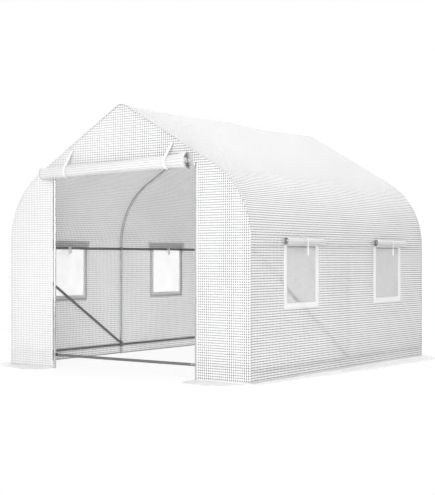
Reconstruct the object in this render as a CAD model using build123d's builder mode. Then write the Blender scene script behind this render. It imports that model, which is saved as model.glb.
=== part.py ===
"""Tunnel greenhouse with a pitched roof: three tube hoops under a reinforced film cover.

Millimetres. The origin is on the ground at the middle of the footprint, +X is to the right seen
from the doorway, +Y runs from the doorway to the back and +Z is up.
"""
import os
from math import acos, atan2, cos, degrees, hypot, pi, radians, sin, tan

from build123d import *

os.makedirs("parts", exist_ok=True)

# Overall size of the covered hoops
cover_width = 2750.0
cover_length = 3050.0
ridge_height = 2340.0
wall_height = 1130.0
roof_pitch = 30.0
ridge_radius = 90.0

# Tubes
tube_diameter = 25.0
tube_wall = 0.8
spigot_length = 60.0
spigot_clearance = 0.3
tube_sides = 12
crown_leg = 150.0
upper_rail_drop = 30.0
lower_rail_height = 92.0
brace_bolt_offset = 18.0
brace_reach = 5.0
upright_bolt_drop = 8.0

# Flattened bolt lugs at the ends of rails, braces and end-frame bars
lug_width = 30.0
lug_thickness = 3.0
lug_reach = 12.0
lug_root = 14.0
flattening_length = 35.0

# Doorway
door_width = 1605.0
door_header_drop = 72.0
door_sill_height = 123.0
door_roll_length = 1710.0
door_roll_offset = -57.0
door_roll_radius = 60.0
door_roll_core = 14.0
door_roll_turns = 8
door_tie_spread = 1150.0
door_tie_rise = 190.0
door_tie_width = 30.0
door_tie_end_turn = 285.0
door_tie_tail_length = 12.0

# Cover
film = 3.0
lap = 0.3
skirt_width = 200.0

# Windows, two in each side wall
window_spacing = 1548.0
window_width = 455.0
window_height = 478.0
window_border = 52.0
window_head_border = 25.0
border_thickness = 2.0
screen_thickness = 2.0
window_roll_length = 620.0
window_roll_radius = 30.0
window_roll_core = 8.0
window_roll_turns = 2
window_roll_film = 1.5
window_tie_width = 22.0
window_tie_tail_length = 90.0
window_tie_rise = 42.0
tie_thickness = 1.5

# Derived sizes
pitch = radians(roof_pitch)
half_width = cover_width / 2
half_length = cover_length / 2
tube_radius = tube_diameter / 2
ridge_point = ridge_height + ridge_radius * (1 / cos(pitch) - 1)
shoulder_radius = (ridge_point - wall_height - tan(pitch) * half_width) / (
    cos(pitch) - tan(pitch) * (1 - sin(pitch))
)
shoulder_centre = half_width - shoulder_radius
ridge_centre = ridge_height - ridge_radius
frame_inset = film + lap + tube_radius
post_x = half_width - frame_inset
hoop_y = {
    "front": -half_length + frame_inset,
    "middle": 0.0,
    "rear": half_length - frame_inset,
}
door_post_x = door_width / 2 + tube_radius
sides = {"left": -1, "right": 1}


def keep(piece, name):
    """Label a finished piece and write it to its own file."""
    piece.part.label = name
    export_step(piece.part, f"parts/{name}.step")


def upright_plane(y):
    """The XZ plane at a distance y along the tunnel, with its local y pointing up."""
    return Plane.XZ.offset(-y)


def slope_height(x, inset):
    """Height of the straight roof slope at x, on the profile drawn in by inset."""
    return ridge_point - inset / cos(pitch) - abs(x) * tan(pitch)


def on_shoulder(inset, angle):
    """Point of the right shoulder's arc at an angle above the horizontal."""
    radius = shoulder_radius - inset
    turn = radians(angle)
    return (shoulder_centre + radius * cos(turn), wall_height + radius * sin(turn))


def on_ridge(inset, angle):
    """Point of the ridge's small arc at an angle above the horizontal."""
    radius = ridge_radius - inset
    turn = radians(angle)
    return (radius * cos(turn), ridge_centre + radius * sin(turn))


def flip(point, side):
    """Move a point of the right-hand profile to its own side."""
    return (side * point[0], point[1])


def roof_line(inset, side):
    """Shoulder arc, slope and half the ridge arc of one side, drawn from the wall up."""
    start = 0 if side > 0 else 180
    sweep_angle = side * (90 - roof_pitch)
    CenterArc((side * shoulder_centre, wall_height), shoulder_radius - inset, start, sweep_angle)
    Line(
        flip(on_shoulder(inset, 90 - roof_pitch), side),
        flip(on_ridge(inset, 90 - roof_pitch), side),
    )
    ridge_start = 90 - roof_pitch if side > 0 else 90 + roof_pitch
    CenterArc((0, ridge_centre), ridge_radius - inset, ridge_start, side * roof_pitch)


# Tubes, drawn with twelve narrow flats so that the long sweeps stay light

def tube_section(radius):
    """The round outline of a tube or spigot, inside the sketch being drawn."""
    RegularPolygon(radius, tube_sides)


def open_tube(start, end):
    """An open-ended tube between two points, inside the part being built."""
    axis = Vector(*end) - Vector(*start)
    with BuildSketch(Plane(origin=start, z_dir=axis)) as ring:
        tube_section(tube_radius)
        RegularPolygon(tube_radius - tube_wall, tube_sides, mode=Mode.SUBTRACT)
    extrude(ring.sketch, amount=axis.length)


def corners(plane, half_across, half_through):
    """Corners of a tube section or, pressed into a thin oval, of a lug, on a plane."""
    turns = [2 * pi * corner / tube_sides for corner in range(tube_sides)]
    return [
        plane.from_local_coords(Vector(half_across * cos(turn), half_through * sin(turn)))
        for turn in turns
    ]


def pressed_transition(lug_plane, tube_plane):
    """Solid between a lug and the round tube, with flat triangles from corner to corner."""
    flat = corners(lug_plane, lug_width / 2, lug_thickness / 2)
    full = corners(tube_plane, tube_radius, tube_radius)
    faces = [Face(Wire.make_polygon(flat)), Face(Wire.make_polygon(full))]
    for corner in range(tube_sides):
        following = (corner + 1) % tube_sides
        faces.append(Face(Wire.make_polygon([flat[corner], flat[following], full[corner]])))
        faces.append(Face(Wire.make_polygon([flat[following], full[following], full[corner]])))
    return Solid(Shell(faces))


def flattened_bar(start, end, inward, start_layer=0, end_layer=0, reach=lug_reach):
    """A tube whose ends are pressed flat and lapped on the inner faces of its posts.

    start and end are the points of the posts' axes where the bolts pass. A layer of None leaves
    that end round and cut square, and a higher layer laps its lug on the lugs bolted there first.
    """
    start, end, inward = Vector(*start), Vector(*end), Vector(*inward)
    body_ends = []
    for point, far, layer in ((start, end, start_layer), (end, start, end_layer)):
        along = (far - point).normalized()
        if layer is None:
            body_ends.append(point)
            continue
        lug_lift = tube_radius + lap + lug_thickness / 2 + layer * (lug_thickness + lap)
        across = inward.cross(along)
        tip = point - along * reach + inward * lug_lift
        root = point + along * lug_root + inward * lug_lift
        round_end = point + along * (lug_root + flattening_length)
        with BuildSketch(Plane(origin=tip, x_dir=across, z_dir=along)) as lug:
            Polygon(*corners(Plane.XY, lug_width / 2, lug_thickness / 2))
        extrude(lug.sketch, amount=reach + lug_root)
        add(
            pressed_transition(
                Plane(origin=root, x_dir=across, z_dir=along),
                Plane(origin=round_end, x_dir=across, z_dir=along),
            )
        )
        body_ends.append(round_end)
    run = body_ends[1] - body_ends[0]
    body_plane = Plane(origin=body_ends[0], x_dir=inward.cross(run), z_dir=run)
    with BuildSketch(body_plane) as body:
        tube_section(tube_radius)
    extrude(body.sketch, amount=run.length)


slope_start = Vector(*on_shoulder(frame_inset, 90 - roof_pitch))
slope_end = Vector(*on_ridge(frame_inset, 90 - roof_pitch))
bow_end = slope_end + (slope_start - slope_end).normalized() * crown_leg
spigot_radius = tube_radius - tube_wall - spigot_clearance

for hoop, y in hoop_y.items():
    for side_name, side in sides.items():
        with BuildPart() as post:
            open_tube((side * post_x, y, 0), (side * post_x, y, wall_height))
        keep(post, f"{hoop}_{side_name}_post")

    # Bent bows: shoulder bend and roof slope, with a swaged spigot at each end
    with BuildPart() as bows:
        for side in sides.values():
            with BuildLine(upright_plane(y)) as bow_path:
                CenterArc(
                    (side * shoulder_centre, wall_height),
                    shoulder_radius - frame_inset,
                    0 if side > 0 else 180,
                    side * (90 - roof_pitch),
                )
                Line((side * slope_start.X, slope_start.Y), (side * bow_end.X, bow_end.Y))
            with BuildSketch(Plane.XY.offset(wall_height)) as bow_section:
                with Locations((side * post_x, y)):
                    tube_section(tube_radius)
            sweep(bow_section.sketch, path=bow_path.line)
            with BuildSketch(Plane.XY.offset(wall_height)) as foot_section:
                with Locations((side * post_x, y)):
                    tube_section(spigot_radius)
            extrude(foot_section.sketch, amount=-spigot_length)
            crown_seat = Plane(
                origin=(side * bow_end.X, y, bow_end.Y),
                x_dir=(0, 1, 0),
                z_dir=(-side * cos(pitch), 0, sin(pitch)),
            )
            with BuildSketch(crown_seat) as crown_section:
                tube_section(spigot_radius)
            extrude(crown_section.sketch, amount=spigot_length)
    keep(bows, f"{hoop}_bows")

    # Crown: a short tube bent to the roof pitch that takes both bow spigots
    with BuildPart() as crown:
        with BuildLine(upright_plane(y)) as crown_path:
            Line((bow_end.X, bow_end.Y), (slope_end.X, slope_end.Y))
            CenterArc(
                (0, ridge_centre), ridge_radius - frame_inset, 90 - roof_pitch, 2 * roof_pitch
            )
            Line((-slope_end.X, slope_end.Y), (-bow_end.X, bow_end.Y))
        crown_mouth = Plane(
            origin=(bow_end.X, y, bow_end.Y), x_dir=(0, 1, 0), z_dir=(-cos(pitch), 0, sin(pitch))
        )
        with BuildSketch(crown_mouth):
            tube_section(tube_radius)
            RegularPolygon(tube_radius - tube_wall, tube_sides, mode=Mode.SUBTRACT)
        sweep(path=crown_path.line)
    keep(crown, f"{hoop}_crown")

ridge_beam_height = ridge_height - frame_inset - tube_diameter - lap
with BuildPart() as ridge_beam:
    open_tube(
        (0, hoop_y["front"] - tube_radius, ridge_beam_height),
        (0, hoop_y["rear"] + tube_radius, ridge_beam_height),
    )
keep(ridge_beam, "ridge_beam")

# Side rails in both bays, and a diagonal brace in the front bay of each side

upper_rail_height = wall_height - upper_rail_drop
bays = (("front", "middle"), ("middle", "rear"))
for side_name, side in sides.items():
    inward = (-side, 0, 0)
    with BuildPart() as rails:
        for height in (upper_rail_height, lower_rail_height):
            for near, far in bays:
                flattened_bar(
                    (side * post_x, hoop_y[near], height),
                    (side * post_x, hoop_y[far], height),
                    inward,
                    start_layer=1 if near == "middle" else 0,
                )
    keep(rails, f"{side_name}_side_rails")

    with BuildPart() as brace:
        flattened_bar(
            (side * post_x, hoop_y["front"], upper_rail_height - brace_bolt_offset),
            (side * post_x, hoop_y["middle"], lower_rail_height + brace_bolt_offset),
            inward,
            start_layer=1,
            end_layer=2,
            reach=brace_reach,
        )
    keep(brace, f"{side_name}_brace")


# End frames: uprights lapped on the bows, a header and a sill bar in three lengths

upright_top = slope_height(door_post_x, frame_inset) - upright_bolt_drop
door_header_height = upright_top - door_header_drop
for end, end_name in (("front", "door"), ("rear", "rear")):
    y = hoop_y[end]
    inward = (0, 1, 0) if end == "front" else (0, -1, 0)
    with BuildPart() as uprights:
        for side in sides.values():
            flattened_bar(
                (side * door_post_x, y, 0),
                (side * door_post_x, y, upright_top),
                inward,
                start_layer=None,
            )
    keep(uprights, f"{end_name}_posts")

    with BuildPart() as header:
        flattened_bar(
            (-door_post_x, y, door_header_height), (door_post_x, y, door_header_height), inward
        )
    keep(header, f"{end_name}_header_bar")

    with BuildPart() as sill:
        flattened_bar(
            (-door_post_x, y, door_sill_height),
            (door_post_x, y, door_sill_height),
            inward,
            start_layer=1,
            end_layer=1,
        )
        for side in sides.values():
            flattened_bar(
                (side * door_post_x, y, door_sill_height),
                (side * post_x, y, door_sill_height),
                inward,
            )
    keep(sill, f"{end_name}_sill_bar")


# Cover: side walls with their windows, and the roof over shoulders and slopes

window_head = wall_height - window_head_border
window_middle = window_head - window_height / 2
for side_name, side in sides.items():
    outward = Plane(origin=(side * half_width, 0, 0), x_dir=(0, side, 0), z_dir=(side, 0, 0))
    window_places = [(-window_spacing / 2, window_middle), (window_spacing / 2, window_middle)]
    with BuildPart() as wall:
        with BuildSketch(outward):
            with Locations((0, wall_height / 2)):
                Rectangle(cover_length, wall_height)
            with Locations(*window_places):
                Rectangle(window_width, window_height, mode=Mode.SUBTRACT)
        extrude(amount=-film)
    keep(wall, f"{side_name}_wall_cover")

    with BuildPart() as roof:
        with BuildSketch(upright_plane(-half_length)):
            with BuildLine():
                roof_line(0, side)
                Line((0, ridge_height), (0, ridge_height - film))
                roof_line(film, side)
                Line((side * half_width, wall_height), (side * (half_width - film), wall_height))
            make_face()
        extrude(amount=-cover_length)
    keep(roof, f"{side_name}_roof_cover")

    with BuildPart() as borders:
        border_height = window_height + window_border + window_head_border
        border_middle = wall_height - border_height / 2
        with BuildSketch(outward):
            with Locations(*[(y, border_middle) for y, _ in window_places]):
                Rectangle(window_width + 2 * window_border, border_height)
            with Locations(*window_places):
                Rectangle(window_width, window_height, mode=Mode.SUBTRACT)
        extrude(amount=border_thickness)
    keep(borders, f"{side_name}_window_borders")

    with BuildPart() as screens:
        with BuildSketch(outward.offset(-lap)):
            with Locations(*window_places):
                Rectangle(window_width - 2 * lap, window_height - 2 * lap)
        extrude(amount=-screen_thickness)
    keep(screens, f"{side_name}_window_screens")

    with BuildPart() as skirt:
        with BuildSketch():
            with Locations((side * (half_width + lap + skirt_width / 2), 0)):
                Rectangle(skirt_width, cover_length)
        extrude(amount=film)
    keep(skirt, f"{side_name}_skirt")


# End panels, inside the roof and wall covers

def end_outline(side):
    """Wall and roof edge of an end panel on one side, from the ground to the ridge."""
    Line((side * (half_width - film - lap), 0), (side * (half_width - film - lap), wall_height))
    roof_line(film + lap, side)


for side_name, side in sides.items():
    with BuildPart() as panel:
        with BuildSketch(upright_plane(-half_length)):
            with BuildLine():
                end_outline(side)
                Line((0, ridge_height - film - lap), (0, 0))
                Line((0, 0), (side * (half_width - film - lap), 0))
            make_face()
            with Locations((0, ridge_height / 2)):
                Rectangle(2 * (door_post_x + tube_radius), 2 * ridge_height, mode=Mode.SUBTRACT)
        extrude(amount=-film)
    keep(panel, f"front_{side_name}_panel")


with BuildPart() as gable:
    with BuildSketch(upright_plane(-half_length)):
        with BuildLine():
            for side in sides.values():
                end_outline(side)
            Line((-(half_width - film - lap), 0), (half_width - film - lap, 0))
        make_face()
        gable_half = door_post_x + tube_radius - lap
        with Locations((0, (door_header_height + ridge_height) / 2)):
            Rectangle(
                2 * gable_half, ridge_height - door_header_height, mode=Mode.INTERSECT
            )
    extrude(amount=-film)
keep(gable, "front_gable_panel")

with BuildPart() as rear_panel:
    with BuildSketch(upright_plane(half_length)):
        with BuildLine():
            for side in sides.values():
                end_outline(side)
            Line((-(half_width - film - lap), 0), (half_width - film - lap, 0))
        make_face()
    extrude(amount=film)
keep(rear_panel, "rear_panel")

with BuildPart() as front_skirts:
    flap_inner = door_post_x + tube_radius
    flap_middle = (flap_inner + half_width) / 2
    flap_y = -half_length - lap - skirt_width / 2
    with BuildSketch():
        with Locations((-flap_middle, flap_y), (flap_middle, flap_y)):
            Rectangle(half_width - flap_inner, skirt_width)
    extrude(amount=film)
keep(front_skirts, "front_skirts")

with BuildPart() as rear_skirt:
    with BuildSketch():
        with Locations((0, half_length + lap + skirt_width / 2)):
            Rectangle(cover_width, skirt_width)
    extrude(amount=film)
keep(rear_skirt, "rear_skirt")


# Rolled door and window covers: true spirals drawn as half turns of growing radius

def roll_plane(centre, toward_wall):
    """Plane across a roll, centred on it, with its local x pointing at the wall it hangs on."""
    across = Vector(*toward_wall)
    return Plane(origin=centre, x_dir=across, z_dir=across.cross(Vector(0, 0, 1)))


def spiral_outline(core, outer, turns, thickness):
    """Closed outline of a rolled sheet, in half turns about two alternating centres."""
    half_turns = 2 * turns
    step = (outer - thickness - core) / (half_turns - 1)
    for face in (0, thickness):
        for turn in range(half_turns):
            shift = -step if turn % 2 == 0 else 0
            CenterArc((shift, 0), core + turn * step + face, 180 * turn, 180)
    Line((core - step, 0), (core - step + thickness, 0))
    Line((outer - thickness, 0), (outer, 0))


def tangent_turn(reach, rise, radius):
    """Angle at which a line from the point (reach, rise) touches a circle about the centre."""
    return degrees(atan2(rise, reach) + acos(radius / hypot(reach, rise)))


def tie_outline(reach, rise, radius, end_turn, tail):
    """A tape from the wall over a roll: tangent line, arc around the roll and a straight tail."""
    ends = []
    for face in (0, tie_thickness):
        start_turn = tangent_turn(reach, rise + 2 * face, radius + face)
        touch = radians(start_turn)
        Line(
            (reach, rise + 2 * face),
            ((radius + face) * cos(touch), (radius + face) * sin(touch)),
        )
        CenterArc((0, 0), radius + face, start_turn, end_turn - start_turn)
        leave = radians(end_turn)
        arc_end = Vector((radius + face) * cos(leave), (radius + face) * sin(leave))
        tail_end = arc_end + Vector(-sin(leave), cos(leave)) * tail
        Line((arc_end.X, arc_end.Y), (tail_end.X, tail_end.Y))
        ends.append((tail_end.X, tail_end.Y))
    Line(*ends)
    Line((reach, rise), (reach, rise + 2 * tie_thickness))


door_roll_y = -half_length - lap - door_roll_radius
door_roll_height = door_header_height
with BuildPart() as door_roll:
    door_roll_start = door_roll_offset - door_roll_length / 2
    door_roll_end = roll_plane((door_roll_start, door_roll_y, door_roll_height), (0, 1, 0))
    with BuildSketch(door_roll_end):
        with BuildLine():
            spiral_outline(door_roll_core, door_roll_radius, door_roll_turns, film)
        make_face()
    extrude(amount=door_roll_length)
keep(door_roll, "rolled_door")

with BuildPart() as door_ties:
    for side in sides.values():
        tie_start = side * door_tie_spread / 2 - door_tie_width / 2
        with BuildSketch(
            roll_plane((tie_start, door_roll_y, door_roll_height), (0, 1, 0))
        ) as door_tie:
            with BuildLine():
                tie_outline(
                    door_roll_radius + lap,
                    door_tie_rise,
                    door_roll_radius + lap,
                    door_tie_end_turn,
                    door_tie_tail_length,
                )
            make_face()
        extrude(door_tie.sketch, amount=door_tie_width)
keep(door_ties, "door_ties")

window_roll_x = half_width + lap + window_roll_radius
window_roll_height = wall_height + window_roll_radius
window_y = (-window_spacing / 2, window_spacing / 2)
for side_name, side in sides.items():
    with BuildPart() as window_rolls:
        for middle in window_y:
            roll_end = (side * window_roll_x, middle - side * window_roll_length / 2, window_roll_height)
            with BuildSketch(roll_plane(roll_end, (-side, 0, 0))) as window_roll:
                with BuildLine():
                    spiral_outline(
                        window_roll_core, window_roll_radius, window_roll_turns, window_roll_film
                    )
                make_face()
            extrude(window_roll.sketch, amount=window_roll_length)
    keep(window_rolls, f"{side_name}_window_rolls")

with BuildPart() as window_ties:
    for side in sides.values():
        for middle in window_y:
            tie_end = (side * window_roll_x, middle - side * window_tie_width / 2, window_roll_height)
            with BuildSketch(roll_plane(tie_end, (-side, 0, 0))) as window_tie:
                with BuildLine():
                    tie_outline(
                        window_roll_radius + lap,
                        window_tie_rise,
                        window_roll_radius + lap,
                        180,
                        window_tie_tail_length,
                    )
                make_face()
            extrude(window_tie.sketch, amount=window_tie_width)
keep(window_ties, "window_ties")
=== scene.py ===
"""Looks of a pitched tunnel greenhouse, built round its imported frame.

Metres, in the frame's axes: the origin is on the ground under the middle of the tunnel, +X is to the
right seen from the doorway, the doorway faces -Y and +Z is up.
"""
from math import cos, pi, radians, sin, sqrt, tan

import bpy
import numpy as np
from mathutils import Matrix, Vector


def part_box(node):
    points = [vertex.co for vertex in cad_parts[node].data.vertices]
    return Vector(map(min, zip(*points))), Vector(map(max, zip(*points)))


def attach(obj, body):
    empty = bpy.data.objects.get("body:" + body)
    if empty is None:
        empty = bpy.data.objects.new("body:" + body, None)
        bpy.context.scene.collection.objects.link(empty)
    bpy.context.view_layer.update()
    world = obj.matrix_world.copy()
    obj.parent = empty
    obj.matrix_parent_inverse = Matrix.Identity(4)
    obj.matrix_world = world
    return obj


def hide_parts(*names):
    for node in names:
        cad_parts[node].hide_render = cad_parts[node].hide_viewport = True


bl_info = {
    "name": "Tunnel greenhouse",
    "version": (1, 0, 0),
    "blender": (4, 5, 0),
    "location": "View3D > Sidebar > Greenhouse",
    "description": "Film cover, rolled door, windows, ties and bolts of a pitched tunnel greenhouse",
    "category": "Object",
}

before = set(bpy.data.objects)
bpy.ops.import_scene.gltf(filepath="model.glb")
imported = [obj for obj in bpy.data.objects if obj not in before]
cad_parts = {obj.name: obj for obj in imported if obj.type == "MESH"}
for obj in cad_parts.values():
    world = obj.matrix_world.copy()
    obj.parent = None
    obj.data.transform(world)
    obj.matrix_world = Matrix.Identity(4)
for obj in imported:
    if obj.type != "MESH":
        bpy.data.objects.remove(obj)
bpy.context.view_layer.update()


def middle_height(node):
    """Height of the middle of a CAD node's box."""
    low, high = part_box(node)
    return (low.z + high.z) / 2


# The cover's outline and the frame under it
HALF_WIDTH = 1.375
HALF_LENGTH = 1.525
RIDGE_HEIGHT = 2.34
WALL_HEIGHT = 1.13
PITCH = radians(30)
RIDGE_RADIUS = 0.09
RIDGE_CENTRE = RIDGE_HEIGHT - RIDGE_RADIUS
RIDGE_POINT = RIDGE_HEIGHT + RIDGE_RADIUS * (1 / cos(PITCH) - 1)
SHOULDER_RADIUS = (RIDGE_POINT - WALL_HEIGHT - tan(PITCH) * HALF_WIDTH) / (
    cos(PITCH) - tan(PITCH) * (1 - sin(PITCH))
)
SHOULDER_CENTRE = HALF_WIDTH - SHOULDER_RADIUS
TUBE_RADIUS = 0.0125
FRAME_INSET = 0.0158
POST_X = HALF_WIDTH - FRAME_INSET
HOOP_Y = HALF_LENGTH - FRAME_INSET
UPPER_RAIL = 1.1
LOWER_RAIL = 0.092
BRACE_BOLT_OFFSET = 0.018
LAP = 0.0003
LUG_STEP = 0.0033
SHEET_INSET = 0.0015

# Doorway
DOOR_POST_X = 0.815
DOOR_EDGE_X = DOOR_POST_X + TUBE_RADIUS
SILL_HEIGHT = 0.123
HEADER_HEIGHT = middle_height("door_header_bar")
HEM_WIDTH = 0.009
ROLL_SQUASH = (0.97, 0.98)
ROLL_RADIUS = 0.06
ROLL_Y = -HALF_LENGTH - LAP - ROLL_RADIUS * ROLL_SQUASH[0]
ROLL_SHORT_END = 0.018
ROLLED_FILM = 0.0005
STRAP_WIDTH = 0.03

# Windows
SIDES = ((-1, "left"), (1, "right"))
WINDOW_Y = 0.774
WINDOW_MIDDLES = (-WINDOW_Y, WINDOW_Y)
WINDOW_HALF = 0.2275
WINDOW_FOOT = 0.627
WINDOW_HEAD = 1.105
BORDER = 0.052
WINDOW_ROLL_LENGTH = 0.62
WINDOW_ROLL_RADIUS = 0.03
WINDOW_ROLL_GAP = 0.0026
WINDOW_ROLL_DROP = 0.014
WINDOW_ROLL_X = HALF_WIDTH + WINDOW_ROLL_GAP + WINDOW_ROLL_RADIUS
WINDOW_ROLL_Z = WALL_HEIGHT + WINDOW_ROLL_RADIUS - WINDOW_ROLL_DROP
WINDOW_TAPE_RISE = 0.042
TAPE_WIDTH = 0.022
TAPE_THICKNESS = 0.0012
TAPE_CLEARANCE = 0.0012
INNER_TAPE_WIDTH = 0.016
INNER_TAPE_LENGTH = 0.075
INNER_TAPE_X = POST_X - TUBE_RADIUS - 0.0017
INNER_TAPE_TOP = UPPER_RAIL + TUBE_RADIUS

# Arc lengths of the cover's outline from the ridge line
RIDGE_RUN = RIDGE_RADIUS * PITCH
SLOPE_RUN = RIDGE_RUN + (
    SHOULDER_CENTRE + (SHOULDER_RADIUS - RIDGE_RADIUS) * sin(PITCH)
) / cos(PITCH)
SHOULDER_RUN = SLOPE_RUN + SHOULDER_RADIUS * (pi / 2 - PITCH)
COVER_RUN = SHOULDER_RUN + WALL_HEIGHT


class GREENHOUSE_PG_sheets(bpy.types.PropertyGroup):
    """Sizes of the film and how it hangs."""

    film_thickness: bpy.props.FloatProperty(
        name="Film thickness", description="Thickness of the reinforced film", default=0.0006, unit="LENGTH"
    )
    thread_pitch: bpy.props.FloatProperty(
        name="Thread pitch", description="Distance between reinforcing threads", default=0.0208, unit="LENGTH"
    )
    thread_width: bpy.props.FloatProperty(
        name="Thread width", description="Width of one reinforcing thread", default=0.004, unit="LENGTH"
    )
    roof_sag: bpy.props.FloatProperty(
        name="Roof sag", description="Sag of the roof film between hoops", default=0.022, unit="LENGTH"
    )
    wall_bulge: bpy.props.FloatProperty(
        name="Wall bulge", description="How far the walls' film bellies out", default=0.006, unit="LENGTH"
    )
    skirt_width: bpy.props.FloatProperty(
        name="Skirt width", description="Width of the film laid on the ground", default=0.2, unit="LENGTH"
    )
    roll_turns: bpy.props.IntProperty(
        name="Door turns", description="Turns in the rolled-up door", default=8, min=3, max=12
    )
    roll_tilt: bpy.props.FloatProperty(
        name="Door roll tilt", description="How much higher the rolled door's right end hangs", default=0.036,
        unit="LENGTH",
    )
    window_turns: bpy.props.IntProperty(
        name="Window turns", description="Turns in a rolled-up window cover", default=4, min=2, max=6
    )


class GREENHOUSE_PG_finish(bpy.types.PropertyGroup):
    """Colours of the greenhouse's materials."""

    film: bpy.props.FloatVectorProperty(
        name="Film", description="Milky film between threads", default=(0.955, 0.955, 0.955), subtype="COLOR"
    )
    thread: bpy.props.FloatVectorProperty(
        name="Thread", description="Reinforcing threads", default=(0.2, 0.2, 0.2), subtype="COLOR"
    )
    binding: bpy.props.FloatVectorProperty(
        name="Binding", description="Window borders and hems", default=(0.86, 0.86, 0.86), subtype="COLOR"
    )
    tape: bpy.props.FloatVectorProperty(
        name="Tape", description="Tapes that hold the rolls up", default=(0.84, 0.84, 0.84), subtype="COLOR"
    )
    screen: bpy.props.FloatVectorProperty(
        name="Screen", description="Threads of the screens", default=(0.94, 0.94, 0.94), subtype="COLOR"
    )
    zinc: bpy.props.FloatVectorProperty(
        name="Zinc", description="Galvanized tubes", default=(0.46, 0.47, 0.48), subtype="COLOR"
    )


# Numbers along lines


def ease(value):
    """Smooth step from 0 to 1: three times the square less twice the cube, held at both ends."""
    t = np.clip(value, 0, 1)
    return t * t * (3 - 2 * t)


def stations(stops, step):
    """Positions along a line that hit every stop, with even spaces of about the step between."""
    runs = [
        np.linspace(a, b, max(1, round((b - a) / step)), endpoint=False)
        for a, b in zip(stops, stops[1:])
    ]
    return np.append(np.concatenate(runs), stops[-1])


def both_ways(half):
    """Stations from 0 upward, mirrored to run from their negative end to their positive one."""
    return np.concatenate([-half[:0:-1], half])


def path_run(path):
    """Length along a path of points up to each of them."""
    return np.concatenate([[0], np.cumsum(np.linalg.norm(np.diff(path, axis=0), axis=1))])


def ripples(u, v, seed, length_u, length_v, count=9):
    """Smooth noise of about -1 to 1: products of two sines with seeded wavelengths near the two given."""
    rng = np.random.default_rng(seed)
    stretch = rng.uniform(0.6, 1.9, (count, 2))
    phase = rng.uniform(0, 2 * pi, (count, 2))
    skew = rng.uniform(-0.35, 0.35, count)
    total = 0
    for (a, b), (p, q), k in zip(stretch, phase, skew):
        along_u = u / (length_u * a) + k * v / length_v
        total = total + np.sin(2 * pi * along_u + p) * np.sin(2 * pi * v / (length_v * b) + q)
    return np.tanh(total * 1.5 / sqrt(count))


def folds(u, v, seed, length_u, length_v):
    """The same noise from 0 to 1."""
    return 0.5 + 0.5 * ripples(u, v, seed, length_u, length_v)


def cover_line(run, inset=0.0):
    """The roof and wall outline by arc length from the ridge, positive to the right.

    Each half is a small ridge arc, a straight slope, a large shoulder arc and an upright wall. Gives x, z
    and the outward normal's x and z of the outline drawn in by the inset.
    """
    side, s = np.where(run < 0, -1.0, 1.0), np.abs(run)
    zones = [s < RIDGE_RUN, s < SLOPE_RUN, s < SHOULDER_RUN]
    turn = np.select(
        zones, [s / RIDGE_RADIUS, PITCH + 0 * s, PITCH + (s - SLOPE_RUN) / SHOULDER_RADIUS], pi / 2
    )
    down = s - RIDGE_RUN
    x = np.select(
        zones,
        [
            RIDGE_RADIUS * np.sin(turn),
            RIDGE_RADIUS * sin(PITCH) + down * cos(PITCH),
            SHOULDER_CENTRE + SHOULDER_RADIUS * np.sin(turn),
        ],
        HALF_WIDTH,
    )
    z = np.select(
        zones,
        [
            RIDGE_CENTRE + RIDGE_RADIUS * np.cos(turn),
            RIDGE_CENTRE + RIDGE_RADIUS * cos(PITCH) - down * sin(PITCH),
            WALL_HEIGHT + SHOULDER_RADIUS * np.cos(turn),
        ],
        WALL_HEIGHT - (s - SHOULDER_RUN),
    )
    nx, nz = side * np.sin(turn), np.cos(turn)
    return side * x - inset * nx, z - inset * nz, nx, nz


# Meshes


def lattice(shape, keep=None, wrap=False):
    """Quads between neighbouring points of a grid, as indices into the flattened grid."""
    index = np.arange(shape[0] * shape[1]).reshape(shape)
    if wrap:
        index = np.concatenate([index, index[:, :1]], axis=1)
    quads = np.stack([index[:-1, :-1], index[1:, :-1], index[1:, 1:], index[:-1, 1:]], axis=-1)
    return quads.reshape(-1, 4) if keep is None else quads[keep]


def surface(points, cut, outward, keep=None, wrap=False):
    """A grid of points as (points, quads, cut coordinates), turned so that its faces look outward.

    points is rows x columns x 3 and cut rows x columns x 2. outward is a direction or a grid of
    directions, and the side on which more of the area faces it becomes the front.
    """
    quads = lattice(points.shape[:2], keep, wrap)
    flat = points.reshape(-1, 3)
    a, b, c, d = (flat[quads[:, k]] for k in range(4))
    area = np.cross(c - a, d - b)
    away = np.broadcast_to(np.asarray(outward, float), points.shape).reshape(-1, 3)[quads[:, 0]]
    if (area * away).sum() < 0:
        quads = quads[:, ::-1]
    return flat, quads, cut.reshape(-1, 2)


def make_piece(name, surfaces, materials, nodes=(), thickness=None):
    """One mesh piece from several surfaces, with its cut coordinates, finish, body and CAD nodes.

    A thickness makes each sheet a thin closed shell about its middle surface. Of two materials the first
    is the front's and the second the back's.
    """
    counts = np.cumsum([0] + [len(points) for points, _, _ in surfaces])
    points = np.concatenate([points for points, _, _ in surfaces])
    quads = np.concatenate([q + start for (_, q, _), start in zip(surfaces, counts)])
    cuts = np.concatenate([cut for _, _, cut in surfaces])
    used, quads = np.unique(quads, return_inverse=True)
    quads = quads.reshape(-1, 4)
    mesh = bpy.data.meshes.new(name)
    mesh.from_pydata(points[used].tolist(), [], quads.tolist())
    layer = mesh.uv_layers.new(name="cut")
    corners = np.empty(len(mesh.loops), np.int32)
    mesh.loops.foreach_get("vertex_index", corners)
    layer.data.foreach_set("uv", cuts[used][corners].astype(np.float32).ravel())
    mesh.shade_smooth()
    for material in materials:
        mesh.materials.append(material)
    piece = bpy.data.objects.new(name, mesh)
    bpy.context.scene.collection.objects.link(piece)
    if thickness:
        wall = piece.modifiers.new("Thickness", "SOLIDIFY")
        wall.thickness = thickness
        wall.offset = 0.0
        wall.material_offset = len(materials) - 1
    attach(piece, "root")
    if nodes:
        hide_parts(*nodes)
    return piece


# Materials


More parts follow.
